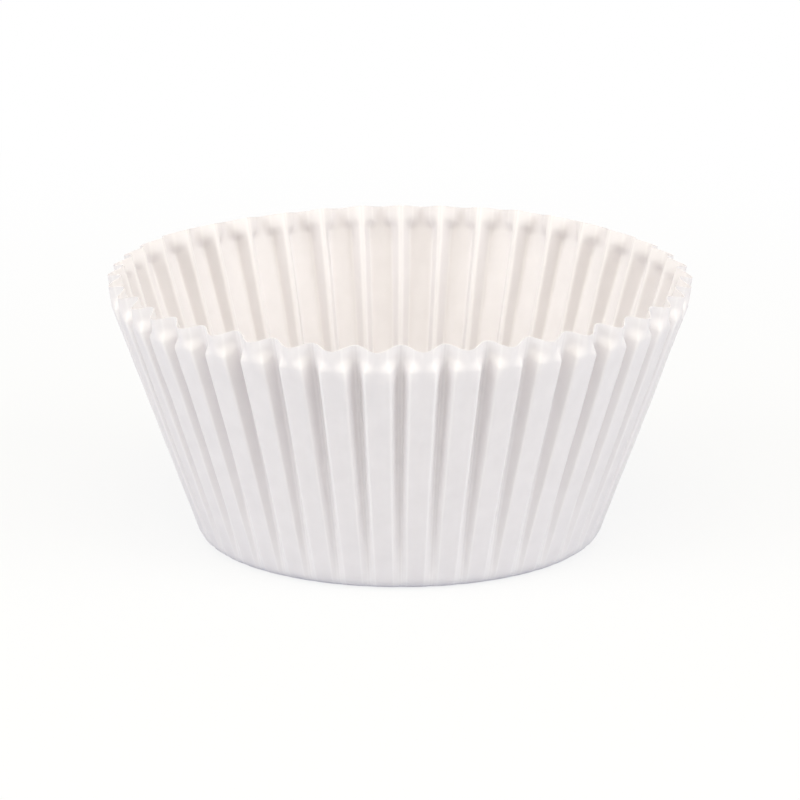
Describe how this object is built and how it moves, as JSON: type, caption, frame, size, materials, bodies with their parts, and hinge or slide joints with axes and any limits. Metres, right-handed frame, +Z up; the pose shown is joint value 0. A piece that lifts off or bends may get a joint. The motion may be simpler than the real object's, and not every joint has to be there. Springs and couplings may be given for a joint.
{
  "type": "cupcake liner",
  "caption": "Fluted round paper cup for baking: a flat base and a pleated, outward-leaning wall, pressed from one thin sheet.",
  "frame": {"origin": "centre of the base's underside, on the surface that the liner stands on", "axes": "+Z up along the cup's axis, from the base to the open rim; a groove of the fluted wall faces -Y"},
  "size_m": [0.0728, 0.0728, 0.0338],
  "materials": {
    "paper": "matt white greaseproof paper, thin enough for some light to come through"
  },
  "bodies": {
    "root": {"liner": "paper"}
  },
  "joints": []
}
